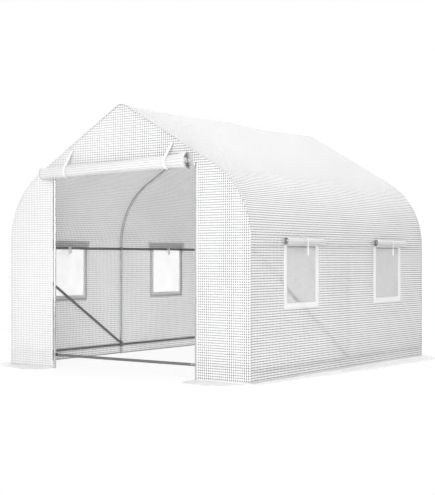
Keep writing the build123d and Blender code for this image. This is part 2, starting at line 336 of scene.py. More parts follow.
def add_node(tree, kind, inputs=None, **settings):
    """A node with its options set and its inputs filled with numbers or with other nodes' outputs."""
    node = tree.nodes.new("ShaderNode" + kind)
    for key, value in settings.items():
        setattr(node, key, value)
    for key, value in (inputs or {}).items():
        if isinstance(value, bpy.types.NodeSocket):
            tree.links.new(value, node.inputs[key])
        else:
            node.inputs[key].default_value = value
    return node


def calc(tree, operation, a, b=0.0):
    """Output of a Math node on two numbers or sockets."""
    return add_node(tree, "Math", {0: a, 1: b}, operation=operation).outputs[0]


def times(tree, a, b):
    """Output of a Math node that multiplies."""
    return calc(tree, "MULTIPLY", a, b)


def remap(tree, value, low, high, to_low=0.0, to_high=1.0):
    """Output of a smooth Map Range."""
    inputs = {"Value": value, "From Min": low, "From Max": high, "To Min": to_low, "To Max": to_high}
    return add_node(tree, "MapRange", inputs, interpolation_type="SMOOTHSTEP").outputs[0]


def blend_colours(tree, share, first, second):
    """Output of a colour Mix node; the colours are RGBA tuples or sockets."""
    return add_node(tree, "Mix", {0: share, 6: first, 7: second}, data_type="RGBA").outputs[2]


def noise(tree, vector, scale, detail=3.0, roughness=0.55, distortion=0.0):
    """Output of a Noise Texture."""
    inputs = {
        "Vector": vector,
        "Scale": scale,
        "Detail": detail,
        "Roughness": roughness,
        "Distortion": distortion,
    }
    return add_node(tree, "TexNoise", inputs).outputs[0]


def clouds(tree, vector, scale, detail, to_low=0.0, to_high=1.0):
    """Soft patches of noise that run from one value to another."""
    return remap(tree, noise(tree, vector, scale, detail), 0.3, 0.7, to_low, to_high)


def stretched(tree, vector, scale):
    """Output of a Mapping node that scales the coordinates."""
    return add_node(tree, "Mapping", {"Vector": vector, "Scale": scale}).outputs[0]


def line_mask(tree, coordinate, pitch, width):
    """Soft line wherever the coordinate passes a multiple of the pitch."""
    cell = calc(tree, "FRACT", times(tree, coordinate, 1 / pitch))
    away = calc(tree, "ABSOLUTE", calc(tree, "SUBTRACT", cell, 0.5))
    edge = width / pitch / 2
    return remap(tree, away, 0.5 - edge * 1.25, 0.5 - edge * 0.75)


def relief_bump(tree, strength, depth, height):
    """Normal of a Bump node with the given strength, depth and height."""
    return add_node(tree, "Bump", {"Strength": strength, "Distance": depth, "Height": height}).outputs[0]


def principled(tree, colour, roughness, bump, more=None):
    """Output of a Principled shader, with more of its inputs if given."""
    inputs = {"Base Color": colour, "Roughness": roughness, "Normal": bump, **(more or {})}
    return add_node(tree, "BsdfPrincipled", inputs).outputs[0]


def let_light_through(tree, skin, colour, bump, share):
    """Output of a shader that is the skin, with a share of it turned translucent."""
    through = add_node(tree, "BsdfTranslucent", {"Color": colour, "Normal": bump}).outputs[0]
    return add_node(tree, "MixShader", {0: share, 1: skin, 2: through}).outputs[0]


def new_material(name):
    """An empty node material with its output node."""
    material = bpy.data.materials.new(name)
    material.use_nodes = True
    tree = material.node_tree
    tree.nodes.clear()
    return material, tree, add_node(tree, "OutputMaterial")


def object_place(tree):
    """The Object coordinates."""
    return add_node(tree, "TexCoord").outputs["Object"]


def cut_axes(tree):
    """The cut coordinates' two components and the whole vector."""
    cut = add_node(tree, "UVMap", uv_map="cut").outputs[0]
    parts = add_node(tree, "SeparateXYZ", {0: cut})
    return parts.outputs[0], parts.outputs[1], cut


def rgba(colour, shade=1.0):
    """An RGBA tuple from a colour property, made darker by the shade."""
    return (*(c * shade for c in colour), 1.0)


# Each film's share of full light and of translucency, how dark its net's threads across u and v and
# their crossings are, and how deep its crinkles are
FILMS = {
    "cover_film_front": {"ends": 1.0, "picks": 0.25, "knots": 0.8, "crinkle": 0.25, "through": 0.45},
    "door_film_front": {
        "ends": 1.0, "picks": 0.8, "knots": 1.0, "crinkle": 0.25, "through": 0.35, "faint": 0.45,
    },
    "rear_film_front": {"ends": 0.6, "picks": 0.6, "knots": 0.8, "crinkle": 0.25, "through": 0.4},
    # The back film's upper share is a painted shade of the roof's inside, darker above the eaves
    "film_back": {
        "ends": 0.55, "picks": 0.45, "knots": 0.6, "crinkle": 0.2, "through": 0.65, "upper": 0.93,
    },
    # The rolled film's light share below 1 is a painted shade that darkens the same film
    "rolled_film_sheet": {
        "ends": 0.1, "picks": 0.45, "knots": 0.3, "crinkle": 0.9, "through": 0.25, "light": 0.85,
    },
    "skirt_film_sheet": {"ends": 0.2, "picks": 0.2, "knots": 0.3, "crinkle": 0.5, "through": 0.55},
}

# Each zinc finish's shade of the zinc colour and share of full roughness
# On one metal, the posts' and bows' lighter shade is painted light and the rails' darker one painted shade
ZINCS = {"galvanized_steel": (1.1, 0.5), "rough_zinc_painted_shade": (0.42, 1.0), "zinc_bolt": (0.8, 1.0)}
ROUGH_SHADED_TUBES = ("rail", "brace", "sill")


def film_material(name, ends, picks, knots, crinkle, through, light=1.0, faint=1.0, upper=1.0):
    """Milky film with a square net of threads, dark where they cross, and small crinkles.

    The net fades to the faint share of itself towards the left, and above the eaves the film's colour is
    darkened to the upper share of itself, a painted shade of the roof's inside.
    """
    sheets, finish = bpy.context.scene.greenhouse_sheets, bpy.context.scene.greenhouse_finish
    material, tree, output = new_material(name)
    u, v, cut = cut_axes(tree)
    place = object_place(tree)
    pitch, width = sheets.thread_pitch, sheets.thread_width
    knot_width = width * 2.4
    uneven = clouds(tree, stretched(tree, cut, (3.0, 3.0, 1.0)), 14.0, 1.0, 0.55, 1.0)
    across_u = times(tree, line_mask(tree, u, pitch, width), ends)
    across_v = times(tree, line_mask(tree, v, pitch, width), picks)
    threads = times(tree, calc(tree, "MAXIMUM", across_u, across_v), uneven)
    crossings = times(
        tree, line_mask(tree, u, pitch, knot_width), line_mask(tree, v, pitch, knot_width)
    )
    net = calc(tree, "MAXIMUM", threads, times(tree, crossings, knots))
    across, _, height = add_node(tree, "SeparateXYZ", {0: place}).outputs
    if faint < 1:
        net = times(tree, net, remap(tree, across, -1.3, 1.1, faint))

    cloud = remap(tree, noise(tree, place, 1.7, 4.0, 0.6), 0.35, 0.65, 0.0, 1.0)
    # The light share darkens film and threads alike, a painted shade
    milk = blend_colours(tree, cloud, rgba(finish.film, light * 0.97), rgba(finish.film, light))
    colour = blend_colours(tree, net, milk, rgba(finish.thread, light))
    # Painted shade: above the eaves the colour darkens to the upper share, for the roof's shaded inside
    if upper < 1:
        above = remap(tree, height, WALL_HEIGHT - 0.06, WALL_HEIGHT + 0.1, 0.0, 1 - upper)
        colour = blend_colours(tree, above, colour, (0, 0, 0, 1))

    crease = times(tree, noise(tree, place, 5.5, 5.0, 0.6, 1.4), crinkle * 3)
    relief = calc(tree, "ADD", crease, times(tree, net, 0.03))
    relief = calc(tree, "ADD", relief, times(tree, noise(tree, cut, 7.0, 2.0), 0.2 * crinkle))
    bump = relief_bump(tree, 0.6, 0.01, relief)
    gloss = clouds(tree, place, 23.0, 3.0, 0.62, 0.76)
    skin = principled(tree, colour, gloss, bump, {"IOR": 1.5, "Specular IOR Level": 0.15})
    tree.links.new(let_light_through(tree, skin, colour, bump, through), output.inputs[0])
    return material


def binding_material(name, colour, weave, stitch_rows=()):
    """Woven strip: a fine over-and-under weave, with a dashed row of stitches at each given distance."""
    material, tree, output = new_material(name)
    u, v, _ = cut_axes(tree)
    warp = calc(tree, "SINE", times(tree, u, 2 * pi / weave))
    weft = calc(tree, "SINE", times(tree, v, 2 * pi / weave))
    cloth = times(tree, warp, weft)
    cloud = clouds(tree, object_place(tree), 6.0, 4.0)
    shade = blend_colours(tree, cloud, rgba(colour, 0.95), rgba(colour))
    fleck = remap(tree, cloth, -1.0, 1.0, 0.0, 0.12)
    shade = blend_colours(tree, fleck, shade, rgba(colour, 0.75))
    height = times(tree, cloth, 0.3)
    for row in stitch_rows:
        beside = calc(tree, "ABSOLUTE", calc(tree, "SUBTRACT", v, row))
        thread = remap(tree, beside, 0.0012, 0.0006)
        stitch = times(tree, thread, line_mask(tree, u, 0.006, 0.0042))
        shade = blend_colours(tree, times(tree, stitch, 0.7), shade, rgba(colour, 0.45))
        height = calc(tree, "SUBTRACT", height, times(tree, thread, 0.8))
        height = calc(tree, "ADD", height, times(tree, stitch, 1.2))
    bump = relief_bump(tree, 0.5, 0.0012, height)
    skin = principled(tree, shade, 0.62, bump, {"Sheen Weight": 0.15})
    tree.links.new(let_light_through(tree, skin, shade, bump, 0.15), output.inputs[0])
    return material


def screen_material():
    """Insect netting: a square mesh of fine threads, fuzzy enough to be milky in its gaps."""
    finish = bpy.context.scene.greenhouse_finish
    material, tree, output = new_material("window_netting")
    u, v, cut = cut_axes(tree)
    pitch, width = 0.004, 0.00045
    net = calc(tree, "MAXIMUM", line_mask(tree, u, pitch, width), line_mask(tree, v, pitch, width))
    cloud = clouds(tree, cut, 9.0, 3.0)
    shade = blend_colours(tree, cloud, rgba(finish.screen, 0.92), rgba(finish.screen))
    bump = relief_bump(tree, 0.5, 0.0008, net)
    cloth = let_light_through(tree, principled(tree, shade, 0.6, bump), shade, bump, 0.6)
    gap = add_node(tree, "BsdfTransparent").outputs[0]
    cover = remap(tree, net, 0.0, 1.0, 0.35, 1.0)
    both = add_node(tree, "MixShader", {0: cover, 1: gap, 2: cloth}).outputs[0]
    tree.links.new(both, output.inputs[0])
    return material


def zinc_material(name, shade, smooth):
    """Galvanized steel: crystal spangle, faint clouds, and scuffs that change the gloss."""
    finish = bpy.context.scene.greenhouse_finish
    material, tree, output = new_material(name)
    place = object_place(tree)
    cells = {"Vector": place, "Scale": 130.0, "Randomness": 1.0}
    spangle = add_node(tree, "TexVoronoi", cells).outputs["Color"]
    crystal = add_node(tree, "SeparateXYZ", {0: spangle}).outputs[0]
    scuff = noise(tree, place, 38.0, 5.0, 0.7)
    cloud = clouds(tree, place, 4.0, 3.0)
    tone = blend_colours(tree, cloud, rgba(finish.zinc, 0.82 * shade), rgba(finish.zinc, shade))
    tone = blend_colours(tree, times(tree, crystal, 0.25), tone, rgba(finish.zinc, 1.25 * shade))
    gloss = remap(tree, scuff, 0.35, 0.7, 0.28 * smooth, 0.48 * smooth)
    gloss = calc(tree, "ADD", gloss, times(tree, crystal, 0.06))
    bump = relief_bump(tree, 0.15, 0.0005, scuff)
    tree.links.new(principled(tree, tone, gloss, bump, {"Metallic": 0.85}), output.inputs[0])
    return material


def material_named(name, make):
    """The material of that name, made the first time it is asked for."""
    return bpy.data.materials.get(name) or make()


def film(name):
    """The film of that name in the table."""
    return material_named(name, lambda: film_material(name, **FILMS[name]))


def zinc(name):
    """The zinc finish of that name in the table."""
    return material_named(name, lambda: zinc_material(name, *ZINCS[name]))


def binding():
    """Woven strip with two rows of stitches, for borders and hems."""
    colour = bpy.context.scene.greenhouse_finish.binding
    return material_named(
        "stitched_binding", lambda: binding_material("stitched_binding", colour, 0.0024, (0.006, 0.044))
    )


def tape():
    """Woven strip without stitches, for tapes and straps."""
    colour = bpy.context.scene.greenhouse_finish.tape
    return material_named("tie_tape_weave", lambda: binding_material("tie_tape_weave", colour, 0.002))


# Cover sheet


def bay_share(y):
    """How far across its bay a point is: 0 at the hoop nearer the door and 1 at the next, and 0 outside."""
    return np.where(np.abs(y) < HOOP_Y, np.mod(y, HOOP_Y) / HOOP_Y, 0.0)


def off_hoops(y, reach):
    """From 0 at a hoop to 1 at the reach from it."""
    share = bay_share(y)
    return ease(np.minimum(share, 1 - share) * HOOP_Y / reach)


def window_distance(y, z):
    """Distance outside the nearest window opening in its wall, negative inside it."""
    gap_y = np.abs(np.abs(y) - WINDOW_Y) - WINDOW_HALF
    gap_z = np.maximum(z - WINDOW_HEAD, WINDOW_FOOT - z)
    return np.maximum(gap_y, gap_z)


def sheet_sag(run, y, roof_sag):
    """Inward sag of the roof film: zero at the hoops, a hump across each bay, deepest on the slopes.

    In the front bay the film drops quickly behind the hoop, as a product of two powers of the distances to
    the bay's two ends. In the rear bay it hangs evenly, as a parabola.
    """
    share = bay_share(y)
    front = np.power(share, 0.62) * np.power(1 - share, 1.1) / 0.446
    rear = 4 * share * (1 - share)
    depth = np.interp(
        np.abs(run),
        [0, RIDGE_RUN, 0.55, SLOPE_RUN, (SLOPE_RUN + SHOULDER_RUN) / 2, SHOULDER_RUN],
        [0.86, 0.86, 1.15, 0.8, 0.45, 0.0],
    )
    return roof_sag * depth * np.where(y < 0, front, 0.8 * rear)


def wall_belly(run, y, z, height):
    """Outward belly of the wall film between posts and rails, flat around the windows."""
    above_ground = ease((z - 0.02) / 0.1)
    below_eaves = ease((np.abs(run) - SHOULDER_RUN + 0.12) / 0.2)
    clear = ease((window_distance(y, z) - BORDER - 0.004) / 0.09)
    wave = np.where(run < 0, folds(y, z, 4, 0.55, 0.4), folds(y, z, 6, 0.55, 0.4))
    return height * off_hoops(y, 0.16) * above_ground * below_eaves * clear * wave


class GREENHOUSE_OT_cover(bpy.types.Operator):
    """Make the one long film sheet over walls, shoulders and roof, with its four window openings"""

    bl_idname = "greenhouse.cover"
    bl_label = "Cover film"

    def execute(self, context):
        """The sheet is the outline's point at each run and y, moved along its normal by sag and ripples."""
        sheets = context.scene.greenhouse_sheets
        window_runs = [SHOULDER_RUN + WALL_HEIGHT - z for z in (WINDOW_HEAD, WINDOW_FOOT)]
        runs = both_ways(stations([0, RIDGE_RUN, SLOPE_RUN, SHOULDER_RUN, *window_runs, COVER_RUN], 0.024))
        edges = [WINDOW_Y - WINDOW_HALF, WINDOW_Y + WINDOW_HALF]
        ys = both_ways(stations([0, *edges, HOOP_Y, HALF_LENGTH], 0.026))
        run, y = np.meshgrid(runs, ys, indexing="ij")
        x, z, nx, nz = cover_line(run, SHEET_INSET)
        roof = ease((SHOULDER_RUN - np.abs(run)) / 0.3)
        move = -sheet_sag(run, y, sheets.roof_sag)
        move += 0.0022 * off_hoops(y, 0.2) * roof * ripples(run, y, 11, 0.5, 0.28)
        move += wall_belly(run, y, z, sheets.wall_bulge)
        points = np.stack([x + nx * move, y, z + nz * move], axis=-1)
        normals = np.stack([nx, 0 * nx, nz], axis=-1)
        mid_run = (runs[:-1] + runs[1:])[:, None] / 2
        mid_y = (ys[:-1] + ys[1:])[None, :] / 2
        mid_z = WALL_HEIGHT + SHOULDER_RUN - np.abs(mid_run)
        keep = window_distance(mid_y, mid_z) > 0
        cover = make_piece(
            "cover_film",
            [surface(points, np.stack([run, y], axis=-1), normals, keep)],
            (film("cover_film_front"), film("film_back")),
            ("left_roof_cover", "right_roof_cover", "left_wall_cover", "right_wall_cover"),
            sheets.film_thickness,
        )
        return {"FINISHED"}


# End sheets

DOOR_ROWS = 84
GABLE_ROWS = 18


def end_grid(split_height):
    """Columns of an end sheet by run along the roof outline, and rows as shares of the height below it.

    A column's rows are even below its split, which is at the given height over the doorway and at the
    same share of the column outside it, and even again above. Gives x, z and the height of each top.
    """
    door_run = RIDGE_RUN + (DOOR_EDGE_X - RIDGE_RADIUS * sin(PITCH)) / cos(PITCH)
    runs = both_ways(stations([0, RIDGE_RUN, door_run, SLOPE_RUN, SHOULDER_RUN], 0.021))
    x, top, _, _ = cover_line(runs, SHEET_INSET + LAP)
    door_top = cover_line(np.array([door_run]), SHEET_INSET)[1][0]
    outside = np.abs(runs) > door_run - 1e-6
    split = np.where(outside, top * split_height / door_top, split_height)
    lower, upper = stations([0, 1], 1 / DOOR_ROWS), stations([0, 1], 1 / GABLE_ROWS)[1:]
    rows = np.concatenate([split[:, None] * lower, split[:, None] + (top - split)[:, None] * upper], axis=1)
    return np.broadcast_to(x[:, None], rows.shape), rows, np.broadcast_to(top[:, None], rows.shape)


def end_belly(x, z, top, seed, height):
    """Outward belly of an end sheet: nothing at its outline and door edges, slack in the panels between.

    It is the belly height times soft upright folds, which are stronger towards the ground.
    """
    rim = np.minimum(np.abs(HALF_WIDTH - np.abs(x)), np.maximum(top - z, 0))
    off_posts = ease(np.abs(np.abs(x) - DOOR_POST_X) / 0.12)
    off_header = ease(np.abs(z - HEADER_HEIGHT) / 0.1)
    free = ease(rim / 0.14) * off_posts * off_header
    return height * free * folds(x, z, seed, 0.3, 1.1) * (0.55 + 0.45 * ease((1.2 - z) / 1.0))


class GREENHOUSE_OT_ends(bpy.types.Operator):
    """Make the front sheet with its doorway and the closed rear sheet"""

    bl_idname = "greenhouse.ends"
    bl_label = "End films"

    def execute(self, context):
        """Each end is the region under the roof outline, as columns and rows, moved out by its belly."""
        sheets = context.scene.greenhouse_sheets
        x, z, top = end_grid(HEADER_HEIGHT)
        mid_x = np.abs(x[:-1, :-1] + x[1:, :-1]) / 2
        doorway = (mid_x < DOOR_EDGE_X) & (np.arange(x.shape[1] - 1)[None, :] < DOOR_ROWS)
        gap = 2 * DOOR_EDGE_X * HEADER_HEIGHT
        whole = float(np.trapz(top[:, -1], x[:, -1]))
        front_nodes = ("front_left_panel", "front_right_panel", "front_gable_panel")
        for name, side, keep, nodes, bows, cloth in (
            ("front_film", -1, ~doorway, front_nodes, "front_bows", whole - gap),
            ("rear_film", 1, None, ("rear_panel",), "rear_bows", whole),
        ):
            belly = end_belly(x, z, top, 21 + side, sheets.wall_bulge)
            y = side * (HALF_LENGTH - SHEET_INSET + belly)
            points = np.stack([x, y, z], axis=-1)
            piece = make_piece(
                name,
                [surface(points, np.stack([x, z], axis=-1), (0, side, 0), keep)],
                (film("door_film_front" if side < 0 else "rear_film_front"), film("film_back")),
                nodes,
                sheets.film_thickness,
            )
        return {"FINISHED"}


class GREENHOUSE_OT_hems(bpy.types.Operator):
    """Make the hems down both edges of the doorway"""

    bl_idname = "greenhouse.hems"
    bl_label = "Door hems"

    def execute(self, context):
        """A hem is a straight strip in front of the end sheet, rounded back a little at its two edges."""
        sheets = context.scene.greenhouse_sheets
        t, w = np.meshgrid(np.linspace(0, 1, 90), np.linspace(0, 1, 7), indexing="ij")
        lift = 0.0004 + 0.0011 * np.sin(pi * w) ** 0.5
        strips = []
        for side, _ in SIDES:
            x = side * (DOOR_EDGE_X + HEM_WIDTH * w)
            z = 0.002 + t * (HEADER_HEIGHT - 0.004)
            y = -HALF_LENGTH + 0.0008 - lift + 0.0004 * ripples(t * 1.8, w, 31, 0.2, 3.0)
            cut = np.stack([t * HEADER_HEIGHT, w * HEM_WIDTH], axis=-1)
            strips.append(surface(np.stack([x, y, z], axis=-1), cut, (0, -1, 0)))
        hems = make_piece("door_hems", strips, (binding(),), (), sheets.film_thickness)
        return {"FINISHED"}


# Skirt

# Distance along the wall's foot from the doorway's right edge, and the skirt's width there
SKIRT_WIDTHS = (
    (0.0, 0.195), (0.03, 0.235), (0.1, 0.262), (0.25, 0.275), (0.41, 0.262), (0.5, 0.19), (0.546, 0.105),
    (0.62, 0.085), (1.07, 0.125), (1.64, 0.175), (2.3, 0.213), (3.1, 0.262), (3.3, 0.255), (3.55, 0.2),
    (3.7, 0.18), (4.4, 0.205), (5.2, 0.19), (6.1, 0.21), (6.35, 0.18), (6.7, 0.195), (7.6, 0.215),
    (8.6, 0.19), (9.2, 0.2), (9.4, 0.15), (9.5, 0.165), (9.75, 0.215), (9.9, 0.2), (9.945, 0.16),
)
DRAWN_SKIRT_WIDTH = 0.2


def skirt_path():
    """The wall's foot from the doorway's right edge round to its left edge, with a fan at each corner.

    Gives the positions along it, the points, the outward directions and the length of the straight parts.
    """
    w, l = HALF_WIDTH - SHEET_INSET, HALF_LENGTH - SHEET_INSET
    corners = [(DOOR_EDGE_X, -l), (w, -l), (w, l), (-w, l), (-w, -l), (-DOOR_EDGE_X, -l)]
    facing = [-pi / 2, 0.0, pi / 2, pi, 1.5 * pi]
    fan = np.linspace(0, 1, 12)[1:-1]
    path, turns, start = [], [], 0.0
    for (ax, ay), (bx, by), angle in zip(corners, corners[1:], facing):
        length = abs(bx - ax) + abs(by - ay)
        share = stations([0, length], 0.02) / length
        leg = [ax + (bx - ax) * share, ay + (by - ay) * share, start + share * length]
        path.append(np.stack(leg, axis=-1))
        turns.append(np.full(len(share), angle))
        start += length
        if angle < facing[-1]:
            path.append(np.tile([bx, by, start], (len(fan), 1)))
            turns.append(angle + fan * pi / 2)
    path, turns = np.concatenate(path), np.concatenate(turns)
    return path[:, 2], path[:, :2], np.stack([np.cos(turns), np.sin(turns)], axis=-1), start


class GREENHOUSE_OT_skirt(bpy.types.Operator):
    """Make the film skirt that lies on the ground round the walls"""

    bl_idname = "greenhouse.skirt"
    bl_label = "Ground skirt"

    def execute(self, context):
        """From the wall's foot the sheet turns out along the ground, to an uneven edge, over low ripples."""
        sheets = context.scene.greenhouse_sheets
        along, foot, out, total = skirt_path()
        at, widths = np.array(SKIRT_WIDTHS).T
        width = np.interp(along, at, widths) * sheets.skirt_width / DRAWN_SKIRT_WIDTH
        width = width + 0.008 * ripples(along, 0 * along, 41, 0.5, 1.0)
        width = width + 0.003 * ripples(along, 0 * along, 42, 0.13, 1.0)
        across = np.concatenate([[0, 0.008, 0.02, 0.04, 0.07], np.linspace(0.11, 1, 13)])
        p, v = np.meshgrid(along, across, indexing="ij")
        reach = v * width[:, None]
        upturn = 0.014 * np.clip(1 - v / 0.07, 0, 1) ** 2.2
        rise, edge = folds(p, v, 43, 0.33, 1.6), folds(p, v, 44, 0.16, 2.0)
        z = 0.0007 + upturn + (0.011 * rise**2 * np.sin(pi * v) + 0.007 * edge**2 * v**2) * ease(v / 0.2)
        xy = foot[:, None, :] + out[:, None, :] * (reach + 0.0009)[..., None]
        points = np.concatenate([xy, z[..., None]], axis=-1)
        skirt = make_piece(
            "ground_skirt",
            [surface(points, np.stack([p, reach], axis=-1), (0, 0, 1))],
            (film("skirt_film_sheet"),),
            ("left_skirt", "right_skirt", "front_skirts", "rear_skirt"),
            sheets.film_thickness,
        )
        return {"FINISHED"}


# Rolls

TAIL_ROWS = 8


def spiral_roll(length, core, outer, turns, squash, tail, seed, crease, steps, flare, tilt=0.0):
    """A rolled sheet: a true spiral whose radius grows evenly with its turn, carried along its axis.

    Each point is the radius at its turn, changed by lengthwise creases, in the plane across the roll; the
    ends of the turns stand in and out a little. Towards the far end the outer turns open by the flare while
    the inner ones stay pinched between them, and the axis rises evenly by the tilt. A straight tail leaves
    the back upwards. Gives the points in the roll's own axes (along, toward the wall, up), the cut
    coordinates and the sheet's length.
    """
    whole_turn = 2 * pi * turns
    axis = np.concatenate([np.linspace(-0.5, 0.3, 45), np.linspace(0.3, 0.5, 21)[1:]])
    t, a = np.meshgrid(np.linspace(-whole_turn, 0, turns * steps + 1), axis, indexing="ij")
    grow = 1 + t / whole_turn
    flat_back = np.clip(np.cos(t), 0, 1) ** 2
    long_creases = ripples(t, a * length, seed, 1.1, 1.9)
    short_creases = ripples(t, a * length, seed + 1, 0.45, 0.8)
    crumple = crease * ease((t + whole_turn) / whole_turn) * (1 - flat_back) * (
        0.7 * long_creases + 0.3 * short_creases
    )
    radius = core + (outer - core) * grow - np.abs(crumple)
    loose = flare * ease((a - 0.36) / 0.14)
    pinch = ease((0.85 - grow) / 0.25)
    across = radius * np.cos(t) * squash[0] * (1 + loose * (1 - pinch)) - outer * squash[0] * loose
    up = radius * np.sin(t) * squash[1] * (1 + loose * (1 - 2.6 * pinch)) + tilt * a
    shove = 0.006 * ripples(t, 0 * t, seed + 2, 5.0, 1.0) * np.sign(a) * ease((np.abs(a) - 0.44) / 0.06)
    along = a * length + shove

    rise = np.linspace(0, 1, TAIL_ROWS + 1)[1:, None] * np.ones_like(axis)
    across = np.concatenate([across, across[-1:] + 0 * rise], axis=0)
    up = np.concatenate([up, up[-1:] + tail * rise], axis=0)
    along = np.concatenate([along, along[-1:] + 0 * rise], axis=0)
    middle = len(axis) // 2
    spent = np.concatenate([[0], np.cumsum(np.hypot(np.diff(across[:, middle]), np.diff(up[:, middle])))])
    cut = np.stack([along, np.broadcast_to(spent[:, None], along.shape)], axis=-1)
    return np.stack([along, across, up], axis=-1), cut, float(spent[-1])


def roll_facing(own):
    """Directions away from a roll's axis, and from the wall on its tail, that its faces look in."""
    facing = own.copy()
    facing[..., 0] = 0
    facing[-TAIL_ROWS - 1:, :, 1] = -1
    facing[-TAIL_ROWS - 1:, :, 2] = 0
    return facing


class GREENHOUSE_OT_door_roll(bpy.types.Operator):
    """Make the rolled-up door under the gable"""

    bl_idname = "greenhouse.door_roll"
    bl_label = "Rolled door"

    def execute(self, context):
        """The door is one sheet: a spiral in front of the header, and a strip up on the gable's foot."""
        sheets = context.scene.greenhouse_sheets
        low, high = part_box("rolled_door")
        span = high.x - low.x - ROLL_SHORT_END
        own, cut, length = spiral_roll(
            length=span, core=0.012, outer=ROLL_RADIUS - ROLLED_FILM, turns=sheets.roll_turns,
            squash=ROLL_SQUASH, tail=0.035, seed=51, crease=0.006, steps=34, flare=0.26,
            tilt=sheets.roll_tilt,
        )
        points = own + np.array([high.x - span / 2, ROLL_Y, HEADER_HEIGHT])
        door = make_piece(
            "door_roll",
            [surface(points, cut, roll_facing(own))],
            (film("rolled_film_sheet"),),
            ("rolled_door",),
            ROLLED_FILM,
        )
        return {"FINISHED"}


def tape_path(roll_radius, lift, rise, end_turn, tail, squash):
    """A tape's line across a roll: a tangent from the wall, an arc over the roll and a straight tail.

    The first part stays clear of the wall. Gives the points (toward the wall, up) and the directions away
    from the roll.
    """
    reach, radius = roll_radius + LAP, roll_radius + lift
    start_turn = np.arctan2(rise, reach) + np.arccos(radius / np.hypot(reach, rise))
    arc = np.linspace(start_turn, end_turn, 40)
    on_arc = np.stack([radius * np.cos(arc), radius * np.sin(arc)], axis=-1)
    lead = np.linspace([reach, rise], on_arc[0], 12, endpoint=False)
    leave = np.array([-sin(end_turn), cos(end_turn)])
    end = on_arc[-1] + leave * np.linspace(0, tail, 14)[1:, None]
    line = np.concatenate([lead, on_arc, end]) * np.asarray(squash)
    step = np.gradient(line, axis=0)
    away = np.stack([step[:, 1], -step[:, 0]], axis=-1)
    away /= np.linalg.norm(away, axis=1, keepdims=True)
    middle = len(lead) + len(arc) // 2
    wall = roll_radius * squash[0] - TAPE_CLEARANCE
    line[:len(lead), 0] = np.minimum(line[:len(lead), 0], wall)
    return line, away * np.sign((away[middle] * line[middle]).sum())


def tape_surface(path, away, width, centre, axis, toward, seed):
    """A tape as wide as the width, along its path in the plane across a roll's axis.

    It waves a little, and its loose end curls and swings sideways. Gives the surface and its length.
    """
    t, across = np.meshgrid(np.linspace(0, 1, len(path)), np.linspace(-0.5, 0.5, 5), indexing="ij")
    loose = ease((t - 0.72) / 0.28)
    lift = 0.0012 + 0.0006 * ripples(t, across, seed, 0.3, 2.0) + loose * 0.002 * (0.5 - 2 * across**2)
    swing = loose * 0.006 * np.sin(seed * 1.7 + 3 * t)
    flat = path[:, None, :] + away[:, None, :] * lift[..., None]
    run = path_run(path)
    axis, toward, up = np.asarray(axis, float), np.asarray(toward, float), np.array([0, 0, 1.0])
    points = (
        np.asarray(centre)
        + axis * (across * width + swing)[..., None]
        + toward * flat[..., 0:1]
        + up * flat[..., 1:2]
    )
    facing = toward * away[:, None, 0:1] + up * away[:, None, 1:2] + 0 * points
    cut = np.stack([run[:, None] + 0 * t, across * width], axis=-1)
    return surface(points, cut, facing), float(run[-1])


class GREENHOUSE_OT_door_ties(bpy.types.Operator):
    """Make the two straps that hold the rolled door up"""

    bl_idname = "greenhouse.door_ties"
    bl_label = "Door straps"

    def execute(self, context):
        """Each strap runs from the gable over the roll's front and under it to a short loose end."""
        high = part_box("door_ties")[1]
        roll_low, roll_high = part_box("rolled_door")
        slope = context.scene.greenhouse_sheets.roll_tilt / (roll_high.x - roll_low.x)
        straps = []
        for side, _ in SIDES:
            x = side * (high.x - STRAP_WIDTH / 2)
            z = HEADER_HEIGHT + slope * (x - (roll_low.x + roll_high.x) / 2)
            path, away = tape_path(
                ROLL_RADIUS, lift=0.0006, rise=high.z - z, end_turn=radians(300), tail=0.014,
                squash=ROLL_SQUASH,
            )
            strap, length = tape_surface(
                path, away, STRAP_WIDTH, (x, ROLL_Y, z), (1, 0, 0), (0, 1, 0), 61 + side
            )
            straps.append(strap)
        piece = make_piece("door_strap_loops", straps, (tape(),), ("door_ties",), 0.0014)
        return {"FINISHED"}


# Windows

# Share of the way from a window border's inner edge to its outer one, and lift from the wall in millimetres
BORDER_SECTION = (
    (1.0, 0.7), (0.97, 1.5), (0.8, 1.9), (0.5, 2.2), (0.2, 2.0), (0.03, 1.6),
    (-0.02, 0.6), (-0.02, -2.2), (0.03, -2.9), (0.3, -3.0), (0.55, -2.9),
)

# Offset of each inner tape from its window's middle, and its shares of the full length and curl
INNER_TAPES = ((-0.012, 1.0, 1.0), (0.011, 0.82, 0.6))


def wall_windows():
    """Side and middle y of each of the four windows."""
    return [(side, middle) for side, _ in SIDES for middle in WINDOW_MIDDLES]


def ring_walk(inner, outer, step):
    """Points round a rectangular ring, on its inner and on its outer rectangle.

    inner and outer are (lowest y, lowest z, highest y, highest z). Each side has even stations, so the
    corners are mitred. Gives both outlines and the run along the middle of the ring.
    """
    shares = stations([0, 1, 2, 3, 4], step)
    outlines = []
    for y0, z0, y1, z1 in (inner, outer):
        corner_y, corner_z = [y0, y1, y1, y0, y0], [z0, z0, z1, z1, z0]
        outlines.append(
            np.stack([np.interp(shares, range(5), corner_y), np.interp(shares, range(5), corner_z)], axis=-1)
        )
    run = path_run((outlines[0] + outlines[1]) / 2)
    return outlines[0][:-1], outlines[1][:-1], run[:-1]


